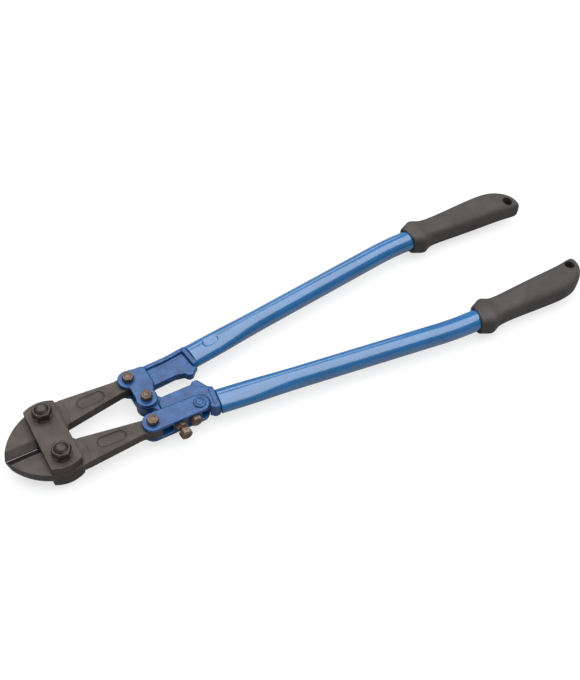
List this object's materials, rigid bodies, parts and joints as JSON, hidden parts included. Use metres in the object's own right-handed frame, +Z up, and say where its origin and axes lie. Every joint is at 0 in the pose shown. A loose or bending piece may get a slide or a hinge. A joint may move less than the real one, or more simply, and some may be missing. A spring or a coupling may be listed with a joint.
{
  "type": "bolt cutters",
  "caption": "Compound-lever bolt cutters with centre-cut jaws, blue tubular handles, moulded grips and a screw-adjusted link.",
  "frame": {"origin": "middle of the tool's foot: centred between the blade tips and the grip ends and between the two handles, at the level of the jaw bolt heads it stands on", "axes": "+X from the blades to the grips, +Y from the lever with the adjusting link to the plain lever, +Z up, parallel to all the main pivots"},
  "size_m": [0.6198, 0.1622, 0.0458],
  "materials": {
    "forged_black": "black oxide on forged steel, satin",
    "bolt_black": "black oxide, slightly shiny on the domed ends",
    "pin_brown": "brown-black oxide on small screws and nuts",
    "blue_casting": "gloss blue enamel over a cast skin",
    "blue_tube": "gloss blue enamel on smooth tube",
    "grip_rubber": "matt moulded PVC"
  },
  "bodies": {
    "straps": {"upper_strap": "forged_black", "lower_strap": "forged_black", "jaw_bolts": "bolt_black", "jaw_nuts": "bolt_black", "jaw_washers": "bolt_black"},
    "left_jaw": {"left_jaw": "forged_black"},
    "right_jaw": {"right_jaw": "forged_black"},
    "left_lever": {"left_yoke": "blue_casting", "left_tube": "blue_tube", "left_grip": "grip_rubber", "left_jaw_pin": "pin_brown", "left_jaw_pin_nut": "pin_brown", "centre_pin": "pin_brown", "centre_pin_nut": "pin_brown"},
    "right_lever": {"right_yoke": "blue_casting", "right_tube": "blue_tube", "right_grip": "grip_rubber", "link_rivet": "blue_casting"},
    "adjusting_link": {"adjusting_link": "blue_casting", "right_jaw_pin": "pin_brown", "right_jaw_pin_nut": "pin_brown"},
    "adjusting_screw": {"adjusting_screw": "pin_brown", "adjuster_lock_nut": "pin_brown"},
    "clamp_bolt": {"clamp_bolt": "pin_brown"}
  },
  "joints": [
    {"name": "left_jaw_turn", "type": "hinge", "parent": "straps", "child": "left_jaw", "pos_m": [-0.26341, 0.0235, 0.01975], "axis": [0, 0, -1], "range_deg": [0, 7.76]},
    {"name": "right_jaw_turn", "type": "hinge", "parent": "straps", "child": "right_jaw", "pos_m": [-0.26341, -0.0235, 0.01975], "axis": [0, 0, 1], "range_deg": [0, 7.76]},
    {"name": "left_lever_turn", "type": "hinge", "parent": "left_jaw", "child": "left_lever", "pos_m": [-0.17691, 0.0275, 0.01975], "axis": [0, 0, 1], "range_deg": [0, 50.06]},
    {"name": "handles_open", "type": "hinge", "parent": "left_lever", "child": "right_lever", "pos_m": [-0.17041, 0, 0.01975], "axis": [0, 0, -1], "range_deg": [0, 84]},
    {"name": "link_adjust", "type": "hinge", "parent": "right_lever", "child": "adjusting_link", "pos_m": [-0.12941, -0.0285, 0.01975], "axis": [0, 0, 1], "range_deg": [-0.5, 0.5]},
    {"name": "adjusting_screw_turn", "type": "hinge", "parent": "adjusting_link", "child": "adjusting_screw", "pos_m": [-0.15341, -0.031, 0.01975], "axis": [0, -1, 0], "range_deg": [-76.41, 76.41]},
    {"name": "clamp_bolt_turn", "type": "hinge", "parent": "right_lever", "child": "clamp_bolt", "pos_m": [-0.13841, -0.031, 0.01975], "axis": [0, -1, 0], "range_deg": [-29.28, 29.28]}
  ],
  "couplings": [
    {"joint": "left_jaw_turn", "follows": "handles_open", "ratio": 0.089982},
    {"joint": "right_jaw_turn", "follows": "handles_open", "ratio": 0.089982},
    {"joint": "left_lever_turn", "follows": "handles_open", "ratio": 0.58998},
    {"joint": "adjusting_screw_turn", "follows": "link_adjust", "ratio": 150.81},
    {"joint": "clamp_bolt_turn", "follows": "link_adjust", "ratio": 56.554}
  ]
}
